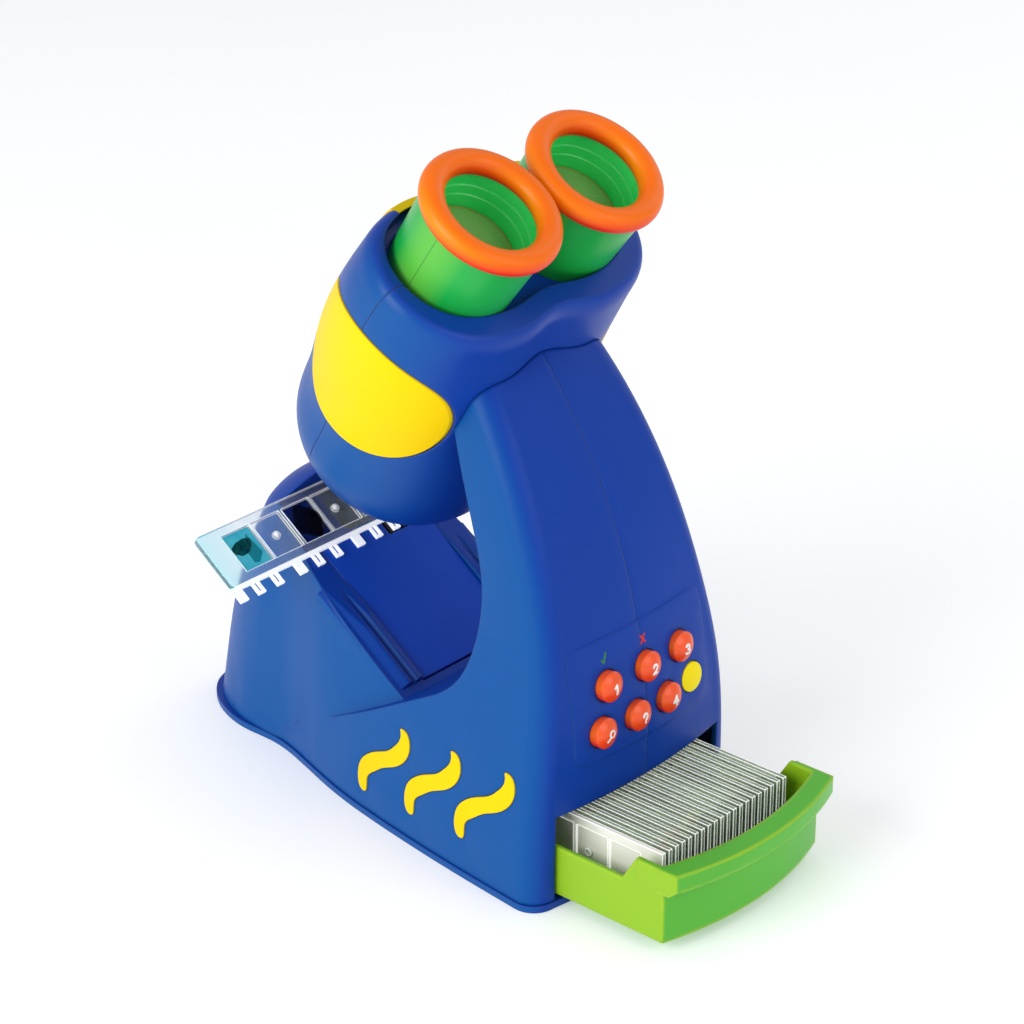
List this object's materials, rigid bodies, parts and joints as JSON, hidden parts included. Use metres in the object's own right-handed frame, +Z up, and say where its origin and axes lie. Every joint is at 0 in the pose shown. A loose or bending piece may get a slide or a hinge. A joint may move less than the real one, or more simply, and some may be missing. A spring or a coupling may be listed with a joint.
{
  "type": "toy microscope",
  "caption": "Child's electronic slide microscope with a tilted binocular head, sloping stage, keys on the tower and a pull-out slide drawer.",
  "frame": {"origin": "on the base plate's underside, in the mid-plane, midway along the base", "axes": "+Z up, -Y towards the child and the drawer, +X to the child's right; the slide enters from -X"},
  "size_m": [0.1555, 0.3168, 0.3048],
  "materials": {
    "blue_shell": "moulded, satin gloss",
    "blue_head": "moulded, satin gloss",
    "yellow_trim": "moulded, satin",
    "yellow_key": "moulded",
    "green_tube": "moulded, satin",
    "orange_ring": "soft moulded",
    "orange_key": "moulded",
    "lens_clear": "clear",
    "black_part": "matte",
    "membrane": "matte",
    "circuit_board": "solder resist",
    "lime_drawer": "moulded, satin",
    "clear_slide": "clear plastic",
    "picture_film": "film",
    "navy_stage": "moulded, satin",
    "frosted_window": "frosted",
    "lamp_clear": "clear",
    "black_rubber": "matte",
    "cell_can": "satin",
    "contact_steel": "plated",
    "screw_steel": "zinc plated"
  },
  "bodies": {
    "body": {"anti_slip_pads": "black_rubber", "base_plate": "blue_shell", "base_screws": "screw_steel", "battery_box": "black_part", "battery_cells": "cell_can", "battery_contacts": "contact_steel", "battery_door": "blue_shell", "board_chips": "black_part", "body_left_shell": "blue_shell", "body_right_shell": "blue_shell", "code_reader": "circuit_board", "door_screw": "screw_steel", "drawer_rails": "blue_shell", "head_front_shell": "blue_head", "head_left_panel": "yellow_trim", "head_rear_panel": "yellow_trim", "head_rear_shell": "blue_head", "head_right_panel": "yellow_trim", "head_screws": "screw_steel", "keypad_board": "circuit_board", "keypad_membrane": "membrane", "lamp_board": "circuit_board", "lamp_led": "lamp_clear", "left_eye_lens": "lens_clear", "left_eye_ring": "orange_ring", "left_tube_front": "green_tube", "left_tube_rear": "green_tube", "lens_retainers": "black_part", "main_board": "circuit_board", "neck_screws": "screw_steel", "objective_holder": "black_part", "objective_lens": "lens_clear", "right_eye_lens": "lens_clear", "right_eye_ring": "orange_ring", "right_tube_front": "green_tube", "right_tube_rear": "green_tube", "shell_screws": "screw_steel", "speaker": "black_part", "stage_plate": "navy_stage", "stage_window": "frosted_window", "wave_inlays_left": "yellow_trim", "wave_inlays_right": "yellow_trim"},
    "key_1": {"key_1": "orange_key"},
    "key_2": {"key_2": "orange_key"},
    "key_3": {"key_3": "orange_key"},
    "key_magnifier": {"key_magnifier": "orange_key"},
    "key_question": {"key_question": "orange_key"},
    "key_4": {"key_4": "orange_key"},
    "key_power": {"key_power": "yellow_key"},
    "drawer": {"drawer": "lime_drawer", "stored_slides": "clear_slide"},
    "stage_slide": {"stage_slide": "clear_slide", "slide_pictures": "picture_film"}
  },
  "joints": [
    {"name": "key_1_press", "type": "slide", "parent": "body", "child": "key_1", "axis": [0, 0.9945, -0.1045], "range_m": [0, 0.0012], "stiffness_N_per_m": 300},
    {"name": "key_2_press", "type": "slide", "parent": "body", "child": "key_2", "axis": [0, 0.9945, -0.1045], "range_m": [0, 0.0012], "stiffness_N_per_m": 300},
    {"name": "key_3_press", "type": "slide", "parent": "body", "child": "key_3", "axis": [0, 0.9945, -0.1045], "range_m": [0, 0.0012], "stiffness_N_per_m": 300},
    {"name": "key_magnifier_press", "type": "slide", "parent": "body", "child": "key_magnifier", "axis": [0, 0.9945, -0.1045], "range_m": [0, 0.0012], "stiffness_N_per_m": 300},
    {"name": "key_question_press", "type": "slide", "parent": "body", "child": "key_question", "axis": [0, 0.9945, -0.1045], "range_m": [0, 0.0012], "stiffness_N_per_m": 300},
    {"name": "key_4_press", "type": "slide", "parent": "body", "child": "key_4", "axis": [0, 0.9945, -0.1045], "range_m": [0, 0.0012], "stiffness_N_per_m": 300},
    {"name": "key_power_press", "type": "slide", "parent": "body", "child": "key_power", "axis": [0, 0.9945, -0.1045], "range_m": [0, 0.0012], "stiffness_N_per_m": 300},
    {"name": "drawer_slide", "type": "slide", "parent": "body", "child": "drawer", "axis": [0, -1, 0], "range_m": [-0.056, 0.07]},
    {"name": "slide_travel", "type": "slide", "parent": "body", "child": "stage_slide", "axis": [1, 0, 0], "range_m": [-0.06, 0.034]}
  ]
}
